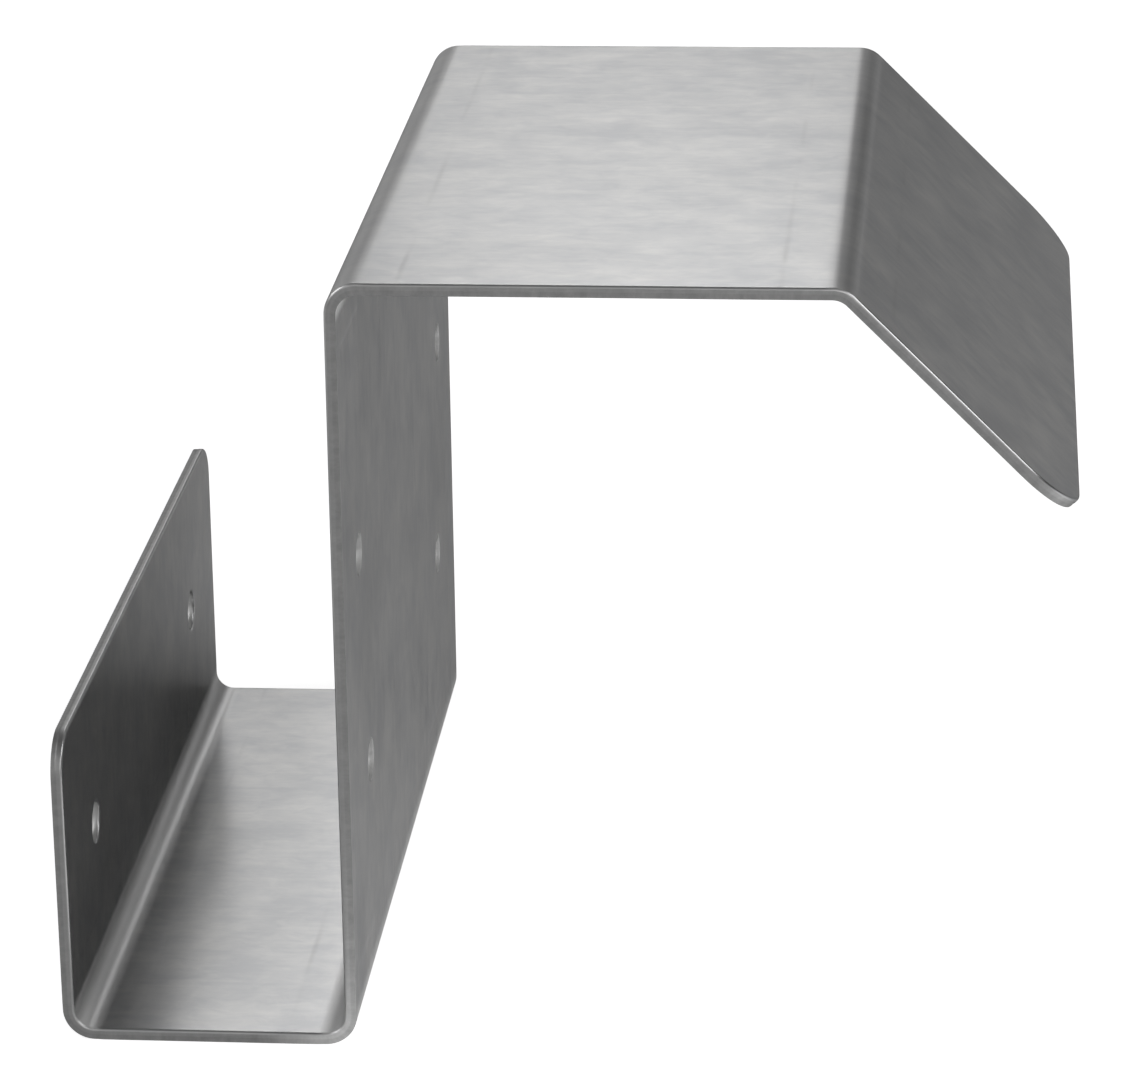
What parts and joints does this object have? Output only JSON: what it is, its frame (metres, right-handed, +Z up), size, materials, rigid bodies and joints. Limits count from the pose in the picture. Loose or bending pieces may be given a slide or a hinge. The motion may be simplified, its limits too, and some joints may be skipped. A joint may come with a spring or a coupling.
{
  "type": "ladder stabilizer",
  "caption": "Folded sheet metal bracket: a hook hangs over the lip of a roof gutter, and a channel holds a board on edge for a ladder to lean on.",
  "frame": {"origin": "centre of the flat underside of the top plate, where the hook rests on the lip of a gutter", "axes": "+Z up as the bracket hangs on the gutter, +X from the board channel to the hook's leg, +Y along the folds"},
  "size_m": [0.1597, 0.1524, 0.1258],
  "materials": {
    "sheet": "mill finish sheet, satin, with a faint rolling grain across the folds"
  },
  "bodies": {
    "root": {"bracket": "sheet"}
  },
  "joints": []
}
